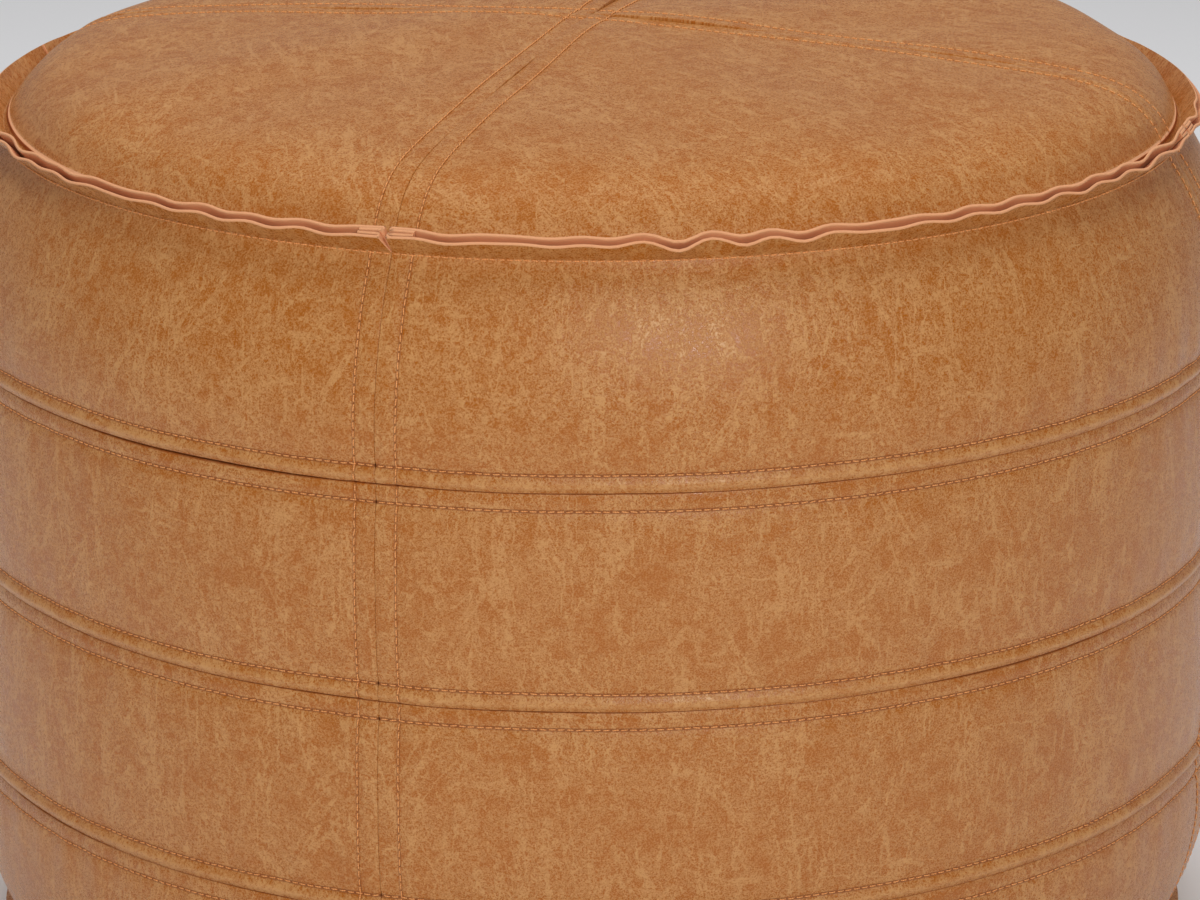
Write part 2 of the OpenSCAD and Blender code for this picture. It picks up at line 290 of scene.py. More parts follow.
def band(b, q):
    """One leather panel of band b with its folded edges, and its flange where it meets a rim."""
    radius, height, length = wall_curve(b)
    total = length[-1]
    rim_s = np.array([0, 0.5, 1.2, 2.2, 3.6, 5.4, 7.8, 11, 16]) * MM
    top_s, top_share = (rim_s, np.zeros(len(rim_s))) if b == 1 else (END_S, END_SHARE)
    end_s, end_share = (rim_s, np.zeros(len(rim_s))) if b == 4 else (END_S, END_SHARE)
    inner = np.linspace(SIDE_FAR, total - SIDE_FAR, 20)[1:-1]
    s = np.concatenate([top_s, inner, total - end_s[::-1]])
    share = np.concatenate([top_share, np.zeros(len(inner)), end_share[::-1]])
    share_of_columns = across_share(INNER_COLUMNS)
    r0, z0 = np.interp(s, length, radius), np.interp(s, length, height)
    slope_r, slope_z = np.gradient(radius, length), np.gradient(height, length)
    tr, tz = np.interp(s, length, slope_r), np.interp(s, length, slope_z)
    size = np.hypot(tr, tz)
    nr, nz = -tz / size, tr / size
    x = across_panel(r0 * np.pi / 2, INNER_COLUMNS)
    ends = (r0 * np.pi / 2)[:, None]
    left, right = np.maximum(x, COLUMN_REACH), np.maximum(ends - x, COLUMN_REACH)
    down, up = s[:, None], (total - s)[:, None]
    quarter_start = math.radians(90 * q - 90)
    angle = quarter_start + x / r0[:, None]
    # the faces draw back where a seam stands open, and a little where stitching crosses a column seam
    shift = 0
    face = 1 - np.clip(share / 1.3, 0, 1)[:, None]
    if b > 1:
        shift = shift + (SEAM_GAP + face * seam_opening(b - 1, angle) / 2) * hump(down, 0, 3 * MM)
    if b < 4:
        shift = shift - (SEAM_GAP + face * seam_opening(b, angle) / 2) * hump(up, 0, 3 * MM)
    pit = 0.16 * MM * (hump(down, BAND_STITCH, 0.9 * MM) + hump(up, BAND_STITCH, 0.9 * MM)) + SEAM_GAP
    retreat = pit * (hump(left, COLUMN_REACH, 1.6 * MM) - hump(right, COLUMN_REACH, 1.6 * MM))
    angle = angle + retreat / r0[:, None]
    lift = column_relief(left) + column_relief(right) + lumps(angle, z0[:, None])
    ripple = waves(angle, 55, 85, 4, 60 + b) * 0.22 * MM
    for d, sewn, fullness in ((down, b > 1, BELOW_SEAM), (up, b < 4, ABOVE_SEAM)):
        if sewn:
            near = np.maximum(d, BAND_REACH)
            lift = lift + seam_relief(near, fullness) + ripple * hump(near, 14 * MM, 12 * MM)
        else:
            lift = lift * np.clip(d / RIM_CALM, 0, 1)
            lift = lift - (0.5 * MM * hump(d, 4 * MM, 4 * MM) * (d > 0) if b == 1 else 0)
    out = lift - BAND_FOLD * share[:, None] - COLUMN_FOLD * share_of_columns[None, :]
    r = r0[:, None] + nr[:, None] * out + tr[:, None] * shift
    z = z0[:, None] + nz[:, None] * out + tz[:, None] * shift
    points = round_axis(r, angle, z)
    sheet_s = np.broadcast_to(down, x.shape)
    if b in (1, 4):
        flange, f = rim_flange(b, FLANGE_F, angle[0 if b == 1 else -1], x[0 if b == 1 else -1])
        points = np.concatenate([flange, points] if b == 1 else [points, flange[::-1]])
        sheet_s = np.concatenate([-f, sheet_s] if b == 1 else [sheet_s, (total + f)[::-1]])
        extra = np.broadcast_to(x[:1] if b == 1 else x[-1:], f.shape)
        x = np.concatenate([extra, x] if b == 1 else [x, extra])
        far = np.broadcast_to(ends[:1] if b == 1 else ends[-1:], (len(f), 1))
        ends = np.concatenate([far, ends] if b == 1 else [ends, far])
    rows, columns = x.shape
    return dict(points=points, x=x, s=sheet_s, ends=ends, total=total, rows=rows, columns=columns, b=b, q=q)


def rim_flange(b, f, angle, x):
    """The allowance of a side panel beyond its rim, from the cut edge in to the stitch line."""
    together, _ = flange_waves(angle)
    away = 1 if b == 1 else -1
    tilt = LOWER_TILT if b == 1 else BASE_UPPER_TILT
    share = across_share(INNER_COLUMNS)
    end = np.minimum(np.maximum(x, COLUMN_REACH), np.maximum(RIM_R * np.pi / 2 - x, COLUMN_REACH))
    tilt = tilt + (1 if b == 1 else 0.35) * FLANGE_SWING * together * (1 - 0.7 * hump(end, 0, 12 * MM))
    tilt = tilt + (math.radians(3) * hump(end, 0, 11 * MM) if b == 1 else 0)
    fold = COLUMN_FOLD + 0.08 * MM * (f / FLANGE_W)[:, None]
    # the last end of each panel is drawn back from the cleft, the first one hardly
    back = np.where(x < RIM_R * np.pi / 4, 0.3 * MM, -2.3 * MM) * hump(end, 0, 9 * MM)
    back = back[None, :] * (f / FLANGE_W)[:, None]
    radius = RIM_R + f[:, None] * np.cos(tilt)[None, :]
    out = -(fold * share[None, :])
    r = radius + np.sin(tilt)[None, :] * out
    z = (RIM_Z if b == 1 else BASE_RIM_Z) + away * (f[:, None] * np.sin(tilt)[None, :] - np.cos(tilt)[None, :] * out)
    turn = angle[None, :] + back / radius
    return round_axis(r, turn, z), np.broadcast_to(f[:, None], r.shape)


NO_LINE = 1.0               # metres from a line of stitches, where there is none


def near_fold(d):
    """1 on the strip between a fold and its topstitching, 0 elsewhere."""
    return np.clip((d / MM - 0.7) / 1.1, 0, 1) * np.clip((5.4 - d / MM) / 1.8, 0, 1)


def sewing(s, total, stitch_s, x, ends, closed_top, closed_end):
    """Per vertex: stitch counts along the lines, distances in mm from the nearest line and band seam, and a painted
    highlight and shade beside band seams, partly wear.
    """
    nowhere = np.full(s.shape, NO_LINE)
    row_far = np.minimum(
        np.abs(s - stitch_s) if closed_top else nowhere, np.abs(total - stitch_s - s) if closed_end else nowhere
    )
    side = np.minimum(np.abs(x - COLUMN_STITCH), np.abs(ends - x - COLUMN_STITCH))
    side = np.where((s < 0) | (s > total), NO_LINE, side)
    along_row = x / ends * np.round(ends / PITCH)
    along_column = s / total * round(total / PITCH)
    # painted highlight, partly wear: paler on the strip that stands out above a seam; painted shade: a little darker on
    # the strip below one
    painted_light_and_wear = 0.26 * near_fold(total - s) * closed_end - 0.12 * near_fold(s) * closed_top
    fold = np.minimum(s if closed_top else nowhere, total - s if closed_end else nowhere)
    return (
        np.stack([along_row, row_far / MM, painted_light_and_wear], -1),
        np.stack([along_column, side / MM, np.maximum(fold, 0) / MM], -1),
    )


def hide_place(index, x, s):
    """Where each vertex lies on its own piece of the hide, in metres, so that no two panels share a pattern."""
    a, b, c = np.random.default_rng(900 + index).uniform(0, 4, 3)
    return np.stack([x + a, s + b, np.broadcast_to(c, x.shape)], -1)


def turned_in(quads, columns, on_flange):
    """Material index per face: 1, the backing, where a flange's end is turned in, and 0 elsewhere."""
    column = quads[:, 0] % columns
    folded = len(RETURN) + len(HAIRPIN) - 1
    ends = (column < folded) | (column >= columns - 1 - folded)
    return (ends & on_flange[quads].any(1)).astype(np.int32)


def band_object(panel, leather, backing):
    b, q = panel["b"], panel["q"]
    rows, columns = panel["rows"], panel["columns"]
    lines = sewing(panel["s"], panel["total"], BAND_STITCH, panel["x"], panel["ends"], b > 1, b < 4)
    place = hide_place(4 * b + q, panel["x"] * SEAM_R / (panel["ends"] * 2 / np.pi), panel["s"])
    name = f"leather_band_{b}_{QUARTERS[q]}"
    on_flange = ((panel["s"] < 0) | (panel["s"] > panel["total"])).reshape(-1)
    quads = grid_quads(rows, columns)
    obj = make_mesh(
        name, panel["points"], quads, [leather, backing], turned_in(quads, columns, on_flange),
        {"hide": place, "sew_rows": lines[0], "sew_columns": lines[1]},
    )
    leather_shell(obj)
    return finish_piece(obj, [f"band_{b}_{QUARTERS[q]}"])


def finish_piece(obj, nodes):
    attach(obj, "cover")
    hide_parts(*nodes)
    return obj


# ---- stitches ----

STITCH_SIDES = 6
STITCH_T = np.array([0, 0.09, 0.3, 0.5, 0.7, 0.91, 1])
STITCH_FAT = np.array([0.5, 0.85, 1, 1, 1, 0.85, 0.5])
STITCH_UP = np.array([-1.4, -0.1, 0.42, 0.5, 0.42, -0.1, -1.4])


THREAD_R = 0.28 * MM
PROUD = 0.06 * MM           # of the leather
CROSSING = 0.12 * MM        # and of a line of stitches that is crossed


class Thread:
    """Collects separate stitches along lines, then makes one piece of them."""

    def __init__(self, radius, seed):
        self.radius = radius
        self.rng = np.random.default_rng(seed)
        self.points = []
        self.strand = []

    def sew(self, line, normals, pitch, cover=0.84, lift=0.0):
        """Stitches along a line of points with these normals; a whole number of them fits between its ends."""
        s = length_along(line)
        count = max(1, round(s[-1] / pitch))
        pitch = s[-1] / count
        t = (np.arange(count)[:, None] + 0.5 + cover * (STITCH_T - 0.5)[None, :]) * pitch
        t = t + self.rng.normal(0, 0.02, (count, 1)) * pitch
        at = np.stack([np.interp(t, s, line[:, k]) for k in range(3)], -1)
        up = unit(np.stack([np.interp(t, s, normals[:, k]) for k in range(3)], -1))
        along = np.gradient(at, axis=1)
        along = unit(along - (along * up).sum(-1, keepdims=True) * up)
        side = np.cross(along, up)
        yaw = self.rng.normal(0, 0.05, (count, 1, 1)) * pitch * (STITCH_T - 0.5)[None, :, None]
        at = at + side * yaw + up * (STITCH_UP * self.radius + lift)[None, :, None]
        turn = np.arange(STITCH_SIDES) * TURN / STITCH_SIDES
        ring = (
            np.cos(turn)[None, None, :, None] * side[:, :, None, :]
            + np.sin(turn)[None, None, :, None] * up[:, :, None, :]
        )
        fat = self.radius * STITCH_FAT * (1 + self.rng.normal(0, 0.05, (count, 1)))
        self.points.append((at[:, :, None, :] + ring * fat[:, :, None, None]).reshape(count, -1, 3))
        place = np.empty((count, len(STITCH_T), STITCH_SIDES, 3))
        place[..., 0] = t[:, :, None]
        place[..., 1] = turn[None, None, :] / TURN
        place[..., 2] = self.rng.uniform(0, 1, (count, 1, 1))
        self.strand.append(place.reshape(count, -1, 3))

    def make(self, name, material, nodes):
        points = np.concatenate(self.points)
        count, each = points.shape[:2]
        rings = len(STITCH_T)
        quads = []
        for k in range(rings - 1):
            for j in range(STITCH_SIDES):
                a, b = k * STITCH_SIDES + j, k * STITCH_SIDES + (j + 1) % STITCH_SIDES
                quads.append([a, b, b + STITCH_SIDES, a + STITCH_SIDES])
        last = (rings - 1) * STITCH_SIDES
        quads += [[3, 2, 1, 0], [5, 4, 3, 0]]
        quads += [[last, last + 1, last + 2, last + 3], [last, last + 3, last + 4, last + 5]]
        quads = (np.array(quads)[None] + (np.arange(count) * each)[:, None, None]).reshape(-1, 4)
        obj = make_mesh(name, points, quads, [material], attributes={"strand": np.concatenate(self.strand)})
        return finish_piece(obj, nodes)


def front_columns(panel):
    """The columns of a panel that lie on its face."""
    first = len(RETURN) + len(HAIRPIN)
    return slice(first, panel["columns"] - first)


def face_rows(panel):
    ok = (panel["s"][:, 0] >= -1e-9) & (panel["s"][:, 0] <= panel["total"] + 1e-9)
    index = np.flatnonzero(ok)
    folded = len(RETURN) + len(HAIRPIN)
    first = index[0] + (folded if panel["b"] > 1 else 0)
    last = index[-1] - (folded if panel["b"] < 4 else 0)
    return slice(first, last + 1)


def column_at(panel, x):
    """Points and normals down a panel's face at a distance from its first seam, or from its last where negative."""
    rows = face_rows(panel)
    values = panel["x"][rows.start] if x > 0 else panel["ends"][rows.start] - panel["x"][rows.start]
    columns = front_columns(panel)
    k = columns.start + int(np.argmin(np.abs(values[columns] - abs(x))))
    return panel["points"][rows, k], panel["normals"][rows, k]


def row_at(panel, s, from_end=False):
    rows = face_rows(panel)
    values = panel["total"] - panel["s"][rows, 0] if from_end else panel["s"][rows, 0]
    k = rows.start + int(np.argmin(np.abs(values - s)))
    columns = front_columns(panel)
    return panel["points"][k, columns], panel["normals"][k, columns]


# ---- top ----

CORNER_C = 130 * MM         # half width of the square of cells in the middle of the top
CORNER_PULL = 0.18          # how far that square's corner is drawn towards the centre
TOP_INNER = 50
FULL_SIDE = math.radians(46)    # where the filling stands highest
ARC_R = 0.9                 # from here out the rows are arcs, as a share of the rim
INNER_RIM = (
    RIM_R - 2.25 * MM * math.sin(math.radians(48)),
    RIM_Z + 2.25 * MM * math.cos(math.radians(48)),
)


def crown(r):
    """Height of the crowned top at a distance from its centre, and the slope there."""
    s = np.clip(r / INNER_RIM[0], 0, 1.0)
    rise = CROWN_Z - INNER_RIM[1]
    height = INNER_RIM[1] + rise * (1 - 0.43 * s**2 - 0.57 * s**20)
    slope = -rise * (0.86 * s + 11.4 * s**19) / INNER_RIM[0]
    return height, slope


def top_face(x, y, depth, start):
    """Points of the top over the plan (x, y) of a quarter that starts at this angle, sunk by depth along the normal."""
    r = np.maximum(np.hypot(x, y), 1e-9)
    height, slope = crown(r)
    size = np.sqrt(1 + slope**2)
    nr, nz = -slope / size, 1 / size
    from_rim = INNER_RIM[0] - r
    angle = np.arctan2(y, x) + start
    near = np.clip(from_rim / (6 * MM), 0, 1)
    lift = column_relief(np.maximum(np.abs(x), COLUMN_REACH)) + column_relief(np.maximum(np.abs(y), COLUMN_REACH))
    lift = lift + MM * 0.9 * (np.sin(x / 0.031 + 1) * np.sin(y / 0.037 + 2) + 0.5 * np.sin(x / 0.017 - y / 0.021))
    # the filling stands a little higher on one side
    full = np.exp(-(np.angle(np.exp(1j * (angle - FULL_SIDE))) / 0.6) ** 2) * hump(r, 0.87 * RIM_R, 0.3 * RIM_R)
    lift = (lift + 3 * MM * full) * near
    out = lift - depth
    return np.stack([x * (1 + nr * out / r), y * (1 + nr * out / r), height + nz * out], -1)


def top_panel(q):
    """One quarter of the top: a square block of cells at its corner, and rows from there to the rim and its flange."""
    start = math.radians(90 * q - 90)
    e = np.concatenate([SIDE_X, np.linspace(SIDE_FAR, CORNER_C, TOP_INNER + 1)[1:]])
    deep = np.concatenate([SIDE_SHARE, np.zeros(TOP_INNER)]) * COLUMN_FOLD
    n = len(e)
    ex, ey = np.meshgrid(e, e, indexing="ij")
    pull = 1 - CORNER_PULL * (ex / CORNER_C) ** 2 * (ey / CORNER_C) ** 2
    block = np.stack([ex * pull, ey * pull, deep[:, None] + deep[None, :]], -1)
    edge = np.concatenate([block[-1, :, :], block[::-1, -1, :][1:]])          # n + n - 1 columns

    def arc(radius):
        mid = np.linspace(math.asin(SIDE_FAR / radius), math.pi / 4, TOP_INNER + 1)[1:]
        side = np.concatenate([np.arcsin(SIDE_X / radius), mid])
        return np.concatenate([side, math.pi / 2 - side[::-1][1:]])

    outer = ARC_R * INNER_RIM[0]
    a = arc(outer)
    target = np.stack([outer * np.cos(a), outer * np.sin(a), edge[:, 2]], -1)
    steps = np.linspace(0, 1, 26)[1:]
    ring = edge[None] + (target - edge)[None] * steps[:, None, None]
    out = 1 - (1 - ARC_R) * (1 - np.linspace(0, 1, 17)[1:-2]) ** 1.25
    rim_r = INNER_RIM[0] * np.concatenate([out, [0.9925, 0.9965, 0.999, 1.0]])
    angles = np.stack([arc(r) for r in rim_r])
    arcs = round_axis(rim_r[:, None], angles, np.broadcast_to(edge[:, 2], angles.shape))
    sheet = np.concatenate([edge[None], ring, arcs])
    points = top_face(sheet[..., 0], sheet[..., 1], sheet[..., 2], start)
    inner = top_face(block[..., 0], block[..., 1], block[..., 2], start)
    # the flange
    f = np.array([0.5, 1.2, 2.2, 3.5, 5.0, 6.6, 8.2, 9.65, 9.8]) * MM
    a = arc(INNER_RIM[0])
    world = start + a
    together, apart = flange_waves(world)
    length = INNER_RIM[0] * np.pi / 2
    x = a * INNER_RIM[0]
    end = np.maximum(np.minimum(x, length - x), COLUMN_REACH)
    calm = 1 - 0.7 * hump(end, 0, 12 * MM)
    tilt = UPPER_TILT + FLANGE_SWING * (0.9 * together + 0.22 * apart) * calm + math.radians(7) * hump(end, 0, 11 * MM)
    share = np.concatenate([deep, deep[::-1][1:]]) / COLUMN_FOLD
    fold = COLUMN_FOLD - 0.05 * MM * (f / FLANGE_W)[:, None]
    side = np.where(a < np.pi / 4, 1, -1)
    back = 0.9 * MM * (f / FLANGE_W)[:, None] * (hump(end, 0, 9 * MM) * side)[None, :]
    radius = INNER_RIM[0] + f[:, None] * np.cos(tilt)[None, :]
    out = -(fold * share[None, :])
    r = radius - np.sin(tilt)[None, :] * out
    z = INNER_RIM[1] + f[:, None] * np.sin(tilt)[None, :] + np.cos(tilt)[None, :] * out
    turn = a[None, :] + back / radius
    flange = round_axis(r, turn, z)
    points = np.concatenate([points, flange])
    flange_sheet = round_axis(radius, np.broadcast_to(a, r.shape), np.zeros(r.shape))
    plan = np.concatenate([sheet, flange_sheet])
    return dict(block=inner, ring=points, block_plan=block, ring_plan=plan, start=start, q=q, n=n, face=len(sheet))


def turned(points, angle):
    """Points turned about the pouf's axis."""
    c, s = math.cos(angle), math.sin(angle)
    return points @ np.array([[c, s, 0], [-s, c, 0], [0, 0, 1]])


def welded(points, quads, extras):
    """Joins vertices that lie at one place."""
    places = np.round(points / 1e-7).astype(np.int64)
    _, first, index = np.unique(places, axis=0, return_index=True, return_inverse=True)
    index = index.reshape(-1)
    quads = index[quads]
    return points[first], quads, {k: v[first] for k, v in extras.items()}


def top_object(panel, leather, backing):
    q, n = panel["q"], panel["n"]
    ring, block = panel["ring"], panel["block"]
    points = np.concatenate([block.reshape(-1, 3), ring.reshape(-1, 3)])
    quads = np.concatenate([grid_quads(n, n), grid_quads(ring.shape[0], ring.shape[1], n * n)])
    plan = np.concatenate([panel["block_plan"].reshape(-1, 3), panel["ring_plan"].reshape(-1, 3)])
    x, y = plan[:, 0], plan[:, 1]
    side = np.minimum(np.abs(x - COLUMN_STITCH), np.abs(y - COLUMN_STITCH))
    side = np.where(np.hypot(x, y) > INNER_RIM[0], NO_LINE, side)
    along = np.where(x < y, y, x) / PITCH
    # the hide lies along the crown's curve, turned so that no panel's grain runs along its seams
    radius = np.linspace(1e-6, INNER_RIM[0], 300)
    flat = np.cumsum(np.sqrt(1 + crown(radius)[1] ** 2)) * (radius[1] - radius[0])
    r = np.maximum(np.hypot(x, y), 1e-9)
    stretch = np.where(r > INNER_RIM[0], 1 + (flat[-1] - radius[-1]) / r, np.interp(r, radius, flat / radius))
    lay = math.radians(35 + 40 * q)
    u, v = x * stretch, y * stretch
    on_flange = np.repeat(np.arange(ring.shape[0]) >= panel["face"], ring.shape[1])
    none = np.zeros(len(x))
    extras = {
        "hide": hide_place(q, u * math.cos(lay) - v * math.sin(lay), u * math.sin(lay) + v * math.cos(lay)),
        "sew_rows": np.stack([none, none + NO_LINE / MM, none], -1),
        "sew_columns": np.stack([along, side / MM, none + NO_LINE / MM], -1),
    }
    block_faces = (n - 1) ** 2
    index = np.zeros(len(quads), np.int32)
    index[block_faces:] = turned_in(quads[block_faces:] - n * n, ring.shape[1], on_flange)
    points, quads, extras = welded(turned(points, panel["start"]), quads, extras)
    obj = make_mesh(f"leather_top_{QUARTERS[q]}", points, quads, [leather, backing], index, extras)
    leather_shell(obj)
    return finish_piece(obj, [f"top_panel_{QUARTERS[q]}"])


# ---- base ----

def base_height(r):
    """Height of the base's underside: up to the rim, flat where it stands, and raised in the middle."""
    rise = INNER_BASE_RIM[1] * np.clip((r - CONTACT_R[1]) / (INNER_BASE_RIM[0] - CONTACT_R[1]), 0, 1) ** 1.9
    t = np.clip((CONTACT_R[0] - r) / (20 * MM), 0, 1)
    return rise + DISH_Z * t * t * (3 - 2 * t)


INNER_BASE_RIM = (
    RIM_R - 2.25 * MM * math.sin(math.radians(18)),
    BASE_RIM_Z - 2.25 * MM * math.cos(math.radians(18)),
)
SLOT_COLUMNS = 150
BASE_FOLD = 0.75 * MM       # half the depth of the turned-in allowance beside the zip
ZIP_EDGE_STITCH = 3 * MM    # topstitching from that fold


def base_panel(half, leather, backing):
    """Half of the base, from its flange in to the folded edge beside the zip."""
    seam = SIDE_X <= 5.2 * MM
    y, share = SIDE_X[seam], SIDE_SHARE[seam]
    count = len(y)
    xs = np.linspace(SLOT_END, -SLOT_END, SLOT_COLUMNS)
    edge = np.concatenate([
        np.stack([np.full(count, SLOT_END), y], -1),
        np.stack([xs, np.full(SLOT_COLUMNS, SLOT_HALF)], -1),
        np.stack([np.full(count, -SLOT_END), y[::-1]], -1),
    ])
    away = np.zeros((len(edge), 2))
    away[:count, 0], away[-count:, 0] = 1, -1
    away[count:-count, 1] = 1
    away[count], away[-count - 1] = (0.7, 0.7), (-0.7, 0.7)
    deep = np.concatenate([share, np.zeros(SLOT_COLUMNS), share[::-1]]) * COLUMN_FOLD * 0.6
    rim = INNER_BASE_RIM[0]
    first = math.asin(8 * MM / rim)
    seam_a = np.arcsin(y / rim)
    a = np.concatenate([seam_a, np.linspace(first, math.pi - first, SLOT_COLUMNS), math.pi - seam_a[::-1]])
    # the flange, from its cut edge in
    f = FLANGE_F[:, None]
    together, _ = flange_waves(a + math.pi * half)
    tilt = (BASE_LOWER_TILT + math.radians(1.8) * together)[None, :]
    sunk = deep[None, :]
    flange = round_axis(
        rim + f * np.cos(tilt) + np.sin(tilt) * sunk,
        np.broadcast_to(a, (len(f), len(a))),
        INNER_BASE_RIM[1] - f * np.sin(tilt) + np.cos(tilt) * sunk,
    )
    # the underside
    start = np.stack([rim * np.cos(a), rim * np.sin(a)], -1)
    stop = edge + away * 4.2 * MM
    t = np.concatenate([[0, 0.004, 0.01, 0.018, 0.028], np.linspace(0.04, 1, 44)])[:, None, None]
    near = np.array([3.0, 2.2, 1.4, 0.7]) * MM
    turn = HAIRPIN[::-1]
    lateral = np.concatenate([near, 0.7 * MM * (1 - np.sin(turn)), RETURN[::-1]])
    fold = np.concatenate([np.zeros(len(near)), 1 - np.cos(turn), np.full(len(RETURN), 2.0)]) * BASE_FOLD
    plan = np.concatenate([start + (stop - start) * t, edge + away * lateral[:, None, None]])
    up = np.concatenate([np.zeros(len(t)), fold])[:, None] + deep[None, :]
    r = np.hypot(plan[..., 0], plan[..., 1])
    soft = np.clip((CONTACT_R[0] - r) / (30 * MM), 0, 1)
    uneven = 0.5 * MM * np.sin(plan[..., 0] / 0.023 + 1) * np.sin(plan[..., 1] / 0.019 + half) * soft
    uneven = uneven * np.clip((np.abs(plan[..., 1]) - 12 * MM) / (25 * MM), 0, 1)
    dent = 0.25 * MM * np.concatenate([np.zeros(len(t)), hump(lateral, ZIP_EDGE_STITCH, 1 * MM)])[:, None]
    under = np.concatenate([plan, (base_height(r) + up + uneven + dent)[..., None]], -1)
    points = np.concatenate([flange, under])
    rows, columns = points.shape[:2]
    flat = np.concatenate([flange[..., :2], plan])
    side = np.concatenate([np.full(len(f) + len(t), NO_LINE), np.abs(lateral - ZIP_EDGE_STITCH)])
    side = np.broadcast_to(side[:, None], (rows, columns))
    along = length_along(edge + away * ZIP_EDGE_STITCH)
    along = np.broadcast_to(along / along[-1] * round(along[-1] / PITCH), (rows, columns))
    none = np.zeros((rows, columns))
    extras = {
        "hide": hide_place(40 + half, flat[..., 0], flat[..., 1]),
        "sew_rows": np.stack([along, side / MM, none], -1),
        "sew_columns": np.stack([none, none + NO_LINE / MM, np.abs(flat[..., 1]) / MM], -1),
    }
    points = turned(points, math.pi * half)
    line = points[len(f) + len(t)], grid_normals(points)[len(f) + len(t) - 2]
    name = "back" if half == 0 else "front"
    obj = make_mesh(f"leather_base_{name}", points, grid_quads(rows, columns), [leather, backing], attributes=extras)
    leather_shell(obj)
    return finish_piece(obj, [f"base_panel_{name}"]), line


# ---- materials ----

def rgb(r, g, b):
    """Linear colour of an sRGB one given from 0 to 255."""
    return tuple(((c / 255 + 0.055) / 1.055) ** 2.4 if c > 10 else c / 255 / 12.92 for c in (r, g, b)) + (1,)


class Shader:
    """A material and short calls that add nodes to it."""

    def __init__(self, name):
        self.material = bpy.data.materials.new(name)
        self.material.use_nodes = True
        self.tree = self.material.node_tree
        self.bsdf = next(n for n in self.tree.nodes if n.type == "BSDF_PRINCIPLED")

    def node(self, kind, inputs=None, **settings):
        n = self.tree.nodes.new("ShaderNode" + kind)
        for key, value in settings.items():
            setattr(n, key, value)
        for key, value in (inputs or {}).items():
            self.put(n.inputs[key], value)
        return n

    def put(self, socket, value):
        if isinstance(value, bpy.types.NodeSocket):
            self.tree.links.new(value, socket)
        else:
            socket.default_value = value

    def set(self, **values):
        for key, value in values.items():
            self.put(self.bsdf.inputs[key.replace("_", " ")], value)

    def read(self, name):
        return self.node("Attribute", attribute_name=name).outputs["Vector"]

    def place(self):
        return self.node("TexCoord").outputs["Object"]

    def split(self, vector):
        return self.node("SeparateXYZ", {0: vector}).outputs

    def math(self, operation, a, b=0.0, clamp=False):
        return self.node("Math", {0: a, 1: b}, operation=operation, use_clamp=clamp).outputs[0]

    def plus(self, a, b, clamp=False):
        return self.math("ADD", a, b, clamp)

    def minus(self, a, b):
        return self.math("SUBTRACT", a, b)

    def times(self, a, b):
        return self.math("MULTIPLY", a, b)

    def most(self, a, b):
        return self.math("MAXIMUM", a, b)

    def size(self, a):
        return self.math("ABSOLUTE", a)

    def sine(self, a):
        return self.math("SINE", a)

    def vector(self, operation, a, b=(0, 0, 0), scale=None):
        n = self.node("VectorMath", {0: a}, operation=operation)
        if scale is None:
            self.put(n.inputs[1], b)
        else:
            self.put(n.inputs["Scale"], scale)
        return n.outputs[0]

    def span(self, value, low, high, to_low=0.0, to_high=1.0):
        """value from low to high, taken smoothly to to_low to to_high."""
        ends = {"Value": value, "From Min": low, "From Max": high, "To Min": to_low, "To Max": to_high}
        n = self.node("MapRange", ends)
        n.interpolation_type = "SMOOTHSTEP"
        return n.outputs[0]

    def noise(self, vector, scale, detail=2.0, roughness=0.5, distortion=0.0, colour=False):
        inputs = {"Vector": vector, "Scale": scale, "Detail": detail, "Roughness": roughness, "Distortion": distortion}
        n = self.node("TexNoise", inputs)
        return n.outputs["Color" if colour else "Fac"]

    def cells(self, vector, scale):
        """Distance from the nearest of many scattered points."""
        return self.node("TexVoronoi", {"Vector": vector, "Scale": scale}).outputs["Distance"]

    def mix(self, share, a, b):
        return self.node("Mix", {0: share, 6: a, 7: b}, data_type="RGBA").outputs[2]

    def bump(self, height, distance, strength=1.0):
        return self.node("Bump", {"Height": height, "Distance": distance, "Strength": strength}).outputs[0]


def streaks(sh, place, degrees, width, length, shift, kept):
    """Pale scratches: stretched contour lines of a noise, turned by degrees and broken up."""
    turn = sh.node("VectorRotate", {"Vector": place, "Angle": math.radians(degrees)}, rotation_type="Z_AXIS").outputs[0]
    at = sh.vector("ADD", sh.vector("MULTIPLY", turn, (1 / width, 1 / length, 1.0)), (shift, shift * 0.7, shift))
    field = sh.size(sh.minus(sh.noise(at, 1.0, 1.0, 0.4), 0.5))
    line = sh.span(field, 0.0, 0.055, 1.0, 0.0)
    part = sh.noise(sh.vector("MULTIPLY", at, (0.45, 0.9, 1.0)), 1.0, 1.0)
    return sh.times(line, sh.span(part, kept, kept + 0.08))


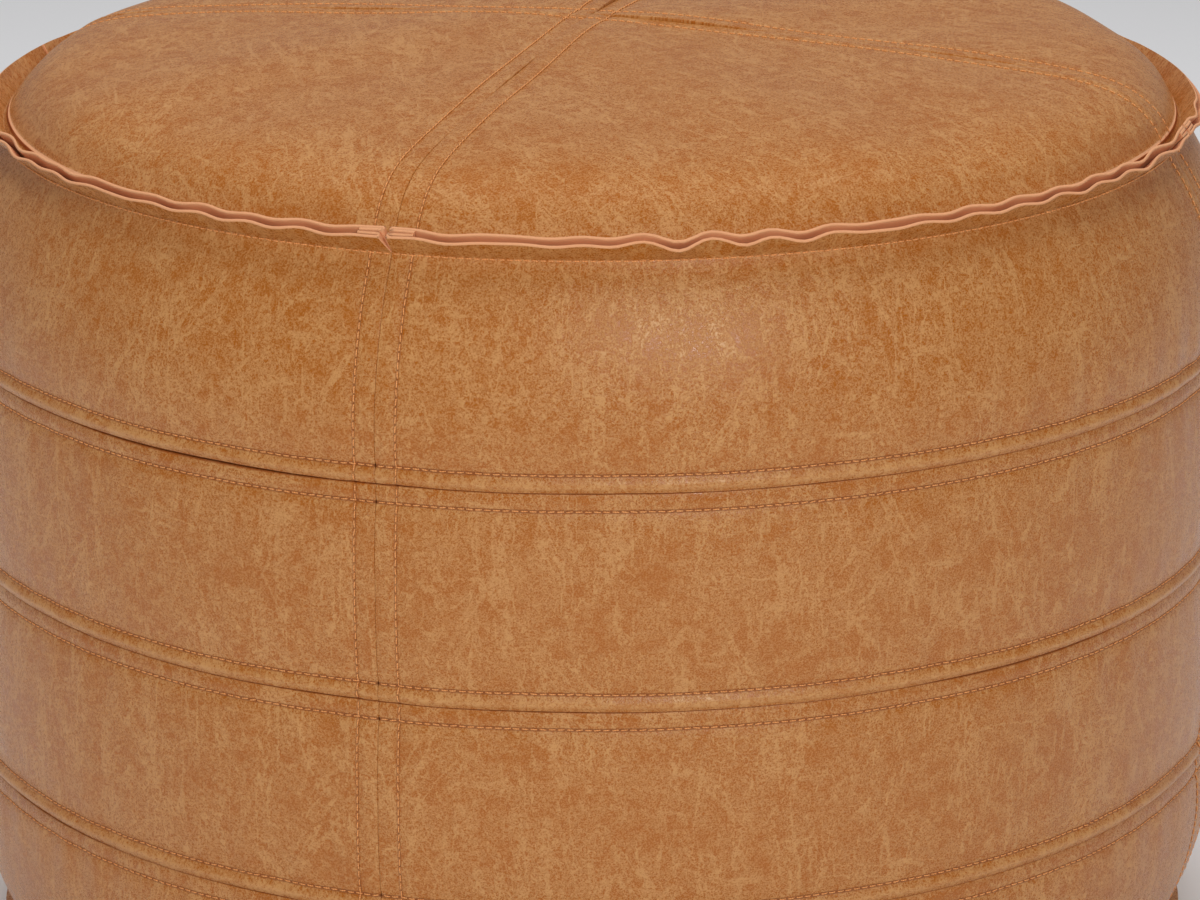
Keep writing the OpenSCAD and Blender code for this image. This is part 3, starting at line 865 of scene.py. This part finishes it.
def leather_material():
    """Grain of short curled pale fibres over a deeper colour, thinner in patches, under long pale scratches."""
    sh = Shader("leather_grain")
    place = sh.vector("SCALE", sh.read("hide"), scale=1000.0)
    drift = sh.vector("SUBTRACT", sh.noise(place, 0.35, 2.0, colour=True), (0.5, 0.5, 0.5))
    bent = sh.vector("ADD", place, sh.vector("SCALE", drift, scale=3.2))
    swayed = sh.vector("ADD", place, sh.vector("SCALE", drift, scale=1.2))
    curl = sh.vector("SUBTRACT", sh.noise(place, 0.8, 0.0, colour=True), (0.5, 0.5, 0.5))
    curled = sh.vector("ADD", place, sh.vector("SCALE", curl, scale=2.2))
    # fibres: contour lines of two noises
    fibres = None
    for scale, seed, thin in ((0.5, 0.0, 0.07), (0.85, 31.0, 0.075)):
        field = sh.noise(sh.vector("ADD", curled, (seed, seed, seed)), scale, 1.0, 0.5)
        one = sh.span(sh.size(sh.minus(field, 0.5)), 0.0, thin, 1.0, 0.0)
        fibres = one if fibres is None else sh.most(fibres, one)
    patch = sh.noise(bent, 0.17, 3.0, 0.6)
    broad = sh.noise(bent, 0.045, 2.0, 0.5)
    grit = sh.noise(place, 1.5, 2.0, 0.75)
    cover = sh.plus(sh.times(patch, 0.7), sh.times(broad, 0.3))
    cover = sh.span(cover, 0.37, 0.56)
    marks = None
    for degrees, width, length, shift, kept in (
        (3, 5.0, 40, 0.0, 0.52), (-4, 3.8, 26, 3.7, 0.53),
        (29, 4.5, 30, 7.1, 0.57), (-34, 4.5, 30, 11.3, 0.57), (86, 4.5, 36, 17.9, 0.59),
    ):
        one = streaks(sh, swayed, degrees, width, length, shift, kept)
        marks = one if marks is None else sh.most(marks, one)
    veil = sh.times(fibres, sh.span(cover, 0.0, 1.0, 0.3, 1.0))
    rows, columns = sh.split(sh.read("sew_rows")), sh.split(sh.read("sew_columns"))
    veil = sh.plus(sh.times(veil, 0.6), sh.times(cover, 0.1))
    # painted light: paler on the strip above a band seam (painted highlight, partly wear), darker on the strip below it
    # (painted shade)
    veil = sh.plus(veil, rows[2])
    veil = sh.plus(veil, sh.times(sh.minus(grit, 0.46), 2.2))
    veil = sh.plus(veil, sh.times(marks, sh.span(grit, 0.3, 0.6, 0.26, 0.6)), clamp=True)
    colour = sh.mix(veil, rgb(170, 93, 10), rgb(204, 147, 89))
    # painted shadow: a brown line under the topstitching, and painted shade in its needle holes
    holes, shade = None, None
    for line in (rows, columns):
        from_hole = sh.size(sh.minus(sh.math("FRACT", sh.plus(line[0], 0.5)), 0.5))
        reach = sh.math("POWER", sh.times(from_hole, 4.0), 2.0)
        reach = sh.plus(reach, sh.math("POWER", line[1], 2.0))
        hole = sh.span(reach, 0.04, 0.3, 1.0, 0.0)
        dim = sh.times(sh.span(line[1], 0.3, 0.95, 1.0, 0.0), 0.75 if line is rows else 0.4)
        holes = hole if holes is None else sh.most(holes, hole)
        shade = dim if shade is None else sh.most(shade, dim)
    # painted shade: darker brown along the fold of each seam, where the leather turns into the groove
    crease_shade = sh.span(columns[2], 0.1, 0.6, 0.6, 0.0)
    colour = sh.mix(shade, colour, rgb(128, 62, 12))
    colour = sh.mix(crease_shade, colour, rgb(150, 70, 8))
    colour = sh.mix(sh.times(holes, 0.4), colour, rgb(112, 54, 8))
    dull = sh.most(sh.most(shade, sh.times(crease_shade, 1.6)), holes)
    height = sh.minus(veil, sh.times(holes, 1.2))
    rough = sh.most(sh.span(veil, 0.0, 1.0, 0.26, 0.37), sh.times(dull, 0.9))
    sh.set(Base_Color=colour, Roughness=rough, Normal=sh.bump(height, 0.00008, 1.0), Specular_IOR_Level=0.5)
    return sh.material


def backing_material():
    sh = Shader("leather_backing")
    place = sh.vector("SCALE", sh.read("hide"), scale=1000.0)
    fibre = sh.noise(place, 1.7, 4.0, 0.65, 1.2)
    broad = sh.noise(place, 0.12, 2.0)
    tone = sh.plus(sh.times(fibre, 0.6), sh.times(broad, 0.4))
    colour = sh.mix(tone, rgb(222, 152, 105), rgb(232, 172, 128))
    sh.set(Base_Color=colour, Roughness=0.85, Normal=sh.bump(fibre, 0.00015, 0.8))
    return sh.material


def thread_material():
    sh = Shader("thread_twisted")
    part = sh.split(sh.read("strand"))
    twist = sh.math("FRACT", sh.plus(sh.times(part[0], 1 / (0.9 * MM)), part[1]))
    ply = sh.size(sh.minus(twist, 0.5))
    # painted shade: darker in the grooves between the plies, where the bump is low
    tone = sh.mix(sh.span(ply, 0.1, 0.5), rgb(240, 168, 104), rgb(206, 126, 62))
    tone = sh.mix(sh.times(part[2], 0.25), tone, rgb(244, 180, 122))
    sh.set(Base_Color=tone, Roughness=0.6, Normal=sh.bump(sh.minus(0.5, ply), 0.00008, 0.7))
    return sh.material


def tape_material():
    sh = Shader("zip_tape_woven")
    place = sh.split(sh.vector("SCALE", sh.place(), scale=1000.0))
    across = sh.sine(sh.times(place[1], TURN / 0.7))
    half_turn = sh.times(sh.math("SIGN", across), 1.57)
    along = sh.sine(sh.plus(sh.times(place[0], TURN / 0.9), half_turn))
    weave = sh.times(sh.size(across), sh.plus(0.6, sh.times(along, 0.4)))
    # painted shade: darker between the yarns, where the weave's bump is low
    colour = sh.mix(weave, rgb(66, 42, 26), rgb(122, 84, 54))
    colour = sh.mix(sh.span(sh.noise(sh.place(), 60.0, 3.0), 0.4, 0.7, 0.0, 0.3), colour, rgb(84, 58, 40))
    sh.set(Base_Color=colour, Roughness=0.85, Normal=sh.bump(weave, 0.00018, 0.9), Sheen_Weight=0.3)
    return sh.material


def brass_material():
    sh = Shader("brass_aged")
    place = sh.place()
    cloud = sh.noise(place, 90.0, 4.0, 0.6)
    scratch = sh.noise(sh.vector("MULTIPLY", place, (300, 2600, 1200)), 1.0, 2.0)
    colour = sh.mix(sh.span(cloud, 0.35, 0.7), rgb(196, 158, 88), rgb(112, 82, 44))
    rough = sh.plus(sh.span(cloud, 0.3, 0.7, 0.26, 0.5), sh.times(scratch, 0.1))
    sh.set(Base_Color=colour, Metallic=1.0, Roughness=rough, Normal=sh.bump(scratch, 0.00003, 0.6))
    return sh.material


def cotton_material():
    sh = Shader("liner_cotton")
    place = sh.split(sh.vector("SCALE", sh.read("cloth"), scale=1000.0))
    warp = sh.sine(sh.times(place[0], TURN / 1.1))
    weft = sh.sine(sh.times(place[1], TURN / 1.1))
    weave = sh.size(sh.times(warp, weft))
    slub = sh.noise(sh.read("cloth"), 55.0, 3.0)
    # painted light and shade: lighter where the weave's bump is high, darker between the yarns
    colour = sh.mix(sh.times(weave, 0.7), rgb(196, 186, 166), rgb(232, 224, 206))
    colour = sh.mix(sh.span(slub, 0.4, 0.7, 0.0, 0.35), colour, rgb(214, 200, 172))
    sh.set(Base_Color=colour, Roughness=0.9, Normal=sh.bump(weave, 0.0002, 0.8), Sheen_Weight=0.2)
    return sh.material


def stuffing_material():
    sh = Shader("stuffing_crumb")
    place = sh.place()
    crumb = sh.cells(place, 90.0)
    fluff = sh.noise(place, 220.0, 4.0, 0.65)
    height = sh.plus(sh.times(crumb, 0.8), sh.times(fluff, 0.3))
    colour = sh.mix(sh.span(sh.noise(place, 30.0, 3.0), 0.35, 0.65), rgb(238, 234, 226), rgb(214, 210, 204))
    sh.set(Base_Color=colour, Roughness=0.95, Normal=sh.bump(height, 0.004, 0.8))
    return sh.material


def floor_material():
    sh = Shader("studio_floor")
    soft = sh.noise(sh.place(), 1.5, 3.0)
    colour = sh.mix(soft, rgb(236, 235, 233), rgb(244, 243, 241))
    sh.set(Base_Color=colour, Roughness=0.7, Normal=sh.bump(sh.noise(sh.place(), 900.0, 2.0), 0.0002, 0.2))
    return sh.material


# ---- liner bag and stuffing ----

LINER_INSET = 6 * MM
LINER_T = 0.6 * MM
FILLING_INSET = 7.3 * MM
ROUND = 240                 # vertices round the pouf


def cap(first, count):
    """Faces that close a ring of an even count of vertices, seen anticlockwise."""
    i = np.arange(count // 2 - 1)
    return np.stack([i, i + 1, count - 2 - i, count - 1 - i], 1) + first


def inside_outline(inset):
    """The cover's inside as radius and height from the centre of the top, down the wall, to the middle of the base,
    with the length along it, and the two places on it where the wall begins and ends."""
    r = np.linspace(0, INNER_RIM[0], 90)
    top = np.stack([r, crown(r)[0]], 1)
    wall = np.concatenate([np.stack(wall_curve(b)[:2], 1)[4::8] for b in (1, 2, 3, 4)])
    edge = np.concatenate([top, wall])
    floor_r = np.linspace(CONTACT_R[1], 0, 70)
    floor_z = np.array([base_height(v) for v in floor_r]) + inset - 0.5 * MM
    ahead = unit(np.gradient(edge, axis=0))
    inner = edge + inset * np.stack([ahead[:, 1], -ahead[:, 0]], 1)
    inner[0, 0] = 0
    clear = np.array([np.hypot(*(edge - p).T).min() for p in inner]) > inset - 0.15 * MM
    inner = inner[clear & (inner[:, 1] > floor_z[0] + 2 * MM)]
    wall_begins = np.argmax(inner[:, 0] > RIM_R - inset - 1 * MM)
    return np.concatenate([inner, np.stack([floor_r, floor_z], 1)]), wall_begins, len(inner)


def lathe(name, outline, relief, material, thickness=None):
    """A turned piece through the outline's points, moved out along its normals by relief(angle, length).
    Where an end of the outline is on the axis it is closed there."""
    ahead = unit(np.gradient(outline, axis=0))
    length = length_along(outline)
    angle = np.arange(ROUND) * TURN / ROUND
    move = relief(angle[None, :], length[:, None])
    r = np.maximum(outline[:, 0, None] - ahead[:, 1, None] * move, 1 * MM)
    z = outline[:, 1, None] + ahead[:, 0, None] * move
    for end in (0, -1):
        if outline[end, 0] == 0:
            z[end] = z[end].mean()
    points = round_axis(r, np.broadcast_to(angle, r.shape), z).reshape(-1, 3)
    first = (np.arange(len(outline) - 1)[:, None] * ROUND + np.arange(ROUND)[None, :]).ravel()
    after = (np.arange(len(outline) - 1)[:, None] * ROUND + (np.arange(ROUND) + 1)[None, :] % ROUND).ravel()
    quads = [np.stack([first, first + ROUND, after + ROUND, after], 1)]
    if outline[0, 0] == 0:
        quads.append(cap(0, ROUND))
    if outline[-1, 0] == 0:
        quads.append(cap(len(points) - ROUND, ROUND)[:, ::-1])
    steep = np.abs(ahead[:, 1]) > 0.7
    cloth = np.where(
        steep[:, None, None],
        np.stack(np.broadcast_arrays(angle[None, :] * RIM_R, length[:, None], 0.0), -1),
        points.reshape(len(outline), ROUND, 3),
    )
    obj = make_mesh(name, points, np.concatenate(quads), [material], attributes={"cloth": cloth})
    if thickness:
        m = obj.modifiers.new("thickness", "SOLIDIFY")
        m.thickness = thickness
        m.offset = -1
    return obj


def wrinkles(seed):
    """Relief of a full cloth bag: soft puckers that run across its seams, over the lumps of its stuffing."""
    def relief(angle, length):
        pucker = waves(angle, 60, 110, 6, seed) * (0.3 + 0.2 * np.sin(length / 0.03))
        lump = waves(angle, 5, 17, 6, seed + 1, length / 0.02)
        return MM * np.clip(0.5 * pucker + 0.6 * lump, -1.2, 1.2)
    return relief


def crumbs(angle, length):
    """Relief of loose stuffing pressed into a bag."""
    return MM * (np.clip(0.5 * waves(angle, 8, 40, 9, 71, length / 0.012), -0.9, 0.9) - 1.1)


# ---- the object ----

leather, backing = leather_material(), backing_material()
thread = thread_material()

panels = {}
for b in (1, 2, 3, 4):
    for q in range(4):
        panel = band(b, q)
        panel["normals"] = grid_normals(panel["points"])
        panels[b, q] = panel
        band_object(panel, leather, backing)
tops = [top_panel(q) for q in range(4)]
for t in tops:
    top_object(t, leather, backing)
zip_thread = Thread(THREAD_R, 9)
for half in (0, 1):
    obj, line = base_panel(half, leather, backing)
    zip_thread.sew(line[0], line[1], PITCH)
zip_thread.make("stitches_zip", thread, ["zip_stitching"])

for k in (1, 2, 3):
    rows = Thread(THREAD_R, 100 + k)
    for q in range(4):
        rows.sew(*row_at(panels[k, q], BAND_STITCH, from_end=True), PITCH, lift=PROUD)
        rows.sew(*row_at(panels[k + 1, q], BAND_STITCH), PITCH, lift=PROUD)
    rows.make(f"stitches_band_seam_{k}", thread, [f"band_seam_thread_{k}"])
columns = Thread(THREAD_R, 200)
for b in (1, 2, 3, 4):
    for q in range(4):
        for side in (1, -1):
            columns.sew(*column_at(panels[b, q], side * COLUMN_STITCH), PITCH, lift=PROUD + CROSSING)
columns.make("stitches_columns", thread, ["column_seam_thread"])
for name, b, from_end in (("top_rim", 1, False), ("base_rim", 4, True)):
    ring = Thread(THREAD_R, 300 + b)
    for q in range(4):
        ring.sew(*row_at(panels[b, q], 0.5 * MM, from_end), RIM_PITCH, lift=0.1 * MM)
    ring.make(f"stitches_{name}", thread, [f"{name}_thread"])


def top_line(panel, along_x):
    """The line of cells of a top panel at the topstitching's distance from one of its seams, from the centre out."""
    k = int(np.argmin(np.abs(SIDE_X[len(RETURN) + len(HAIRPIN):] - COLUMN_STITCH))) + len(RETURN) + len(HAIRPIN)
    first = len(RETURN) + len(HAIRPIN)
    block, ring = panel["block"], panel["ring"][: panel["face"]]
    if along_x:
        line = np.concatenate([block[first:, k], ring[1:, k]])
        up = np.concatenate([grid_normals(block)[first:, k], grid_normals(panel["ring"])[1 : panel["face"], k]])
    else:
        line = np.concatenate([block[k, first:], ring[1:, -1 - k]])
        up = np.concatenate([grid_normals(block)[k, first:], grid_normals(panel["ring"])[1 : panel["face"], -1 - k]])
    return turned(line[:-3], panel["start"]), turned(up[:-3], panel["start"])


seam_x, seam_y = Thread(THREAD_R, 400), Thread(THREAD_R, 401)
for t in tops:
    # in even quarters the local x axis lies along the world's Y
    for along_x in (True, False):
        on_y = (t["q"] % 2 == 0) == along_x
        (seam_y if on_y else seam_x).sew(*top_line(t, along_x), PITCH, lift=PROUD + (CROSSING if on_y else 0))
seam_x.make("stitches_top_x", thread, ["top_seam_thread_x"])
seam_y.make("stitches_top_y", thread, ["top_seam_thread_y"])

cotton = cotton_material()
lining, wall_first, wall_last = inside_outline(LINER_INSET)
for name, part, seed in (
    ("liner_top", lining[: wall_first + 1], 80),
    ("liner_wall", lining[wall_first : wall_last + 1], 82),
    ("liner_base", lining[wall_last:], 84),
):
    finish_piece(lathe(f"{name}_cloth", part, wrinkles(seed), cotton, LINER_T), [name])
stuffing = lathe("filling_stuffing", inside_outline(FILLING_INSET)[0], crumbs, stuffing_material())
finish_piece(stuffing, ["filling"])

for material, nodes in (
    (tape_material(), ("zip_tape_front", "zip_tape_back")),
    (brass_material(), (
        "zip_teeth_front", "zip_teeth_back", "zip_top_stops", "zip_bottom_stop", "zip_slider", "zip_pull",
    )),
):
    for node in nodes:
        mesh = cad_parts[node].data
        mesh.materials.clear()
        mesh.materials.append(material)

# ---- floor, light and camera ----

VIEW = math.radians(17.6)       # the camera stands this far round from the front, towards +X
VIEW_RIGHT = np.array([math.cos(VIEW), math.sin(VIEW), 0])
VIEW_AWAY = np.array([-math.sin(VIEW), math.cos(VIEW), 0])


def seen(right, away, up):
    return tuple(right * VIEW_RIGHT + away * VIEW_AWAY + up * np.array([0, 0, 1]))


corners = [(-6, -6, 0), (6, -6, 0), (6, 6, 0), (-6, 6, 0)]
floor = make_mesh("studio_floor", corners, np.array([[0, 1, 2, 3]]), [floor_material()])

world = bpy.data.worlds.new("studio")
bpy.context.scene.world = world
world.use_nodes = True
world.node_tree.nodes["Background"].inputs["Color"].default_value = (1, 1, 1, 1)
world.node_tree.nodes["Background"].inputs["Strength"].default_value = 0.25


def softbox(name, place, aim, width, height, power, tint, glossy=True):
    light = bpy.data.lights.new(name, "AREA")
    light.shape = "RECTANGLE"
    light.size, light.size_y = width, height
    light.energy = power
    light.color = tint
    obj = bpy.data.objects.new(name, light)
    bpy.context.scene.collection.objects.link(obj)
    obj.location = place
    direction = Vector(np.array(aim) - np.array(place))
    obj.rotation_euler = direction.to_track_quat("-Z", "Y").to_euler()
    obj.visible_glossy = glossy


softbox("key_right", seen(0.67, -2.24, 1.38), (0, 0, 0.25), 0.46, 0.56, 18.6, (1, 1, 0.94))
softbox("key_left", seen(-0.95, -2.14, 1.38), (0, 0, 0.25), 1.2, 1.2, 12.2, (1, 1, 0.94), glossy=False)
softbox("overhead", seen(0, 0.7, 2.5), (0, 0, 0.3), 2.4, 2.4, 43.5, (1, 1.01, 1.08), glossy=False)

camera = bpy.data.objects.new("camera", bpy.data.cameras.new("camera"))
bpy.context.scene.collection.objects.link(camera)
camera.data.lens = 142.2
camera.data.sensor_width = 36
camera.location = seen(0, -1.8214, 0.7553)
camera.rotation_euler = (math.radians(90 - 17.24), 0, VIEW - math.radians(0.1))
bpy.context.scene.camera = camera
bpy.context.scene.view_settings.view_transform = "Standard"
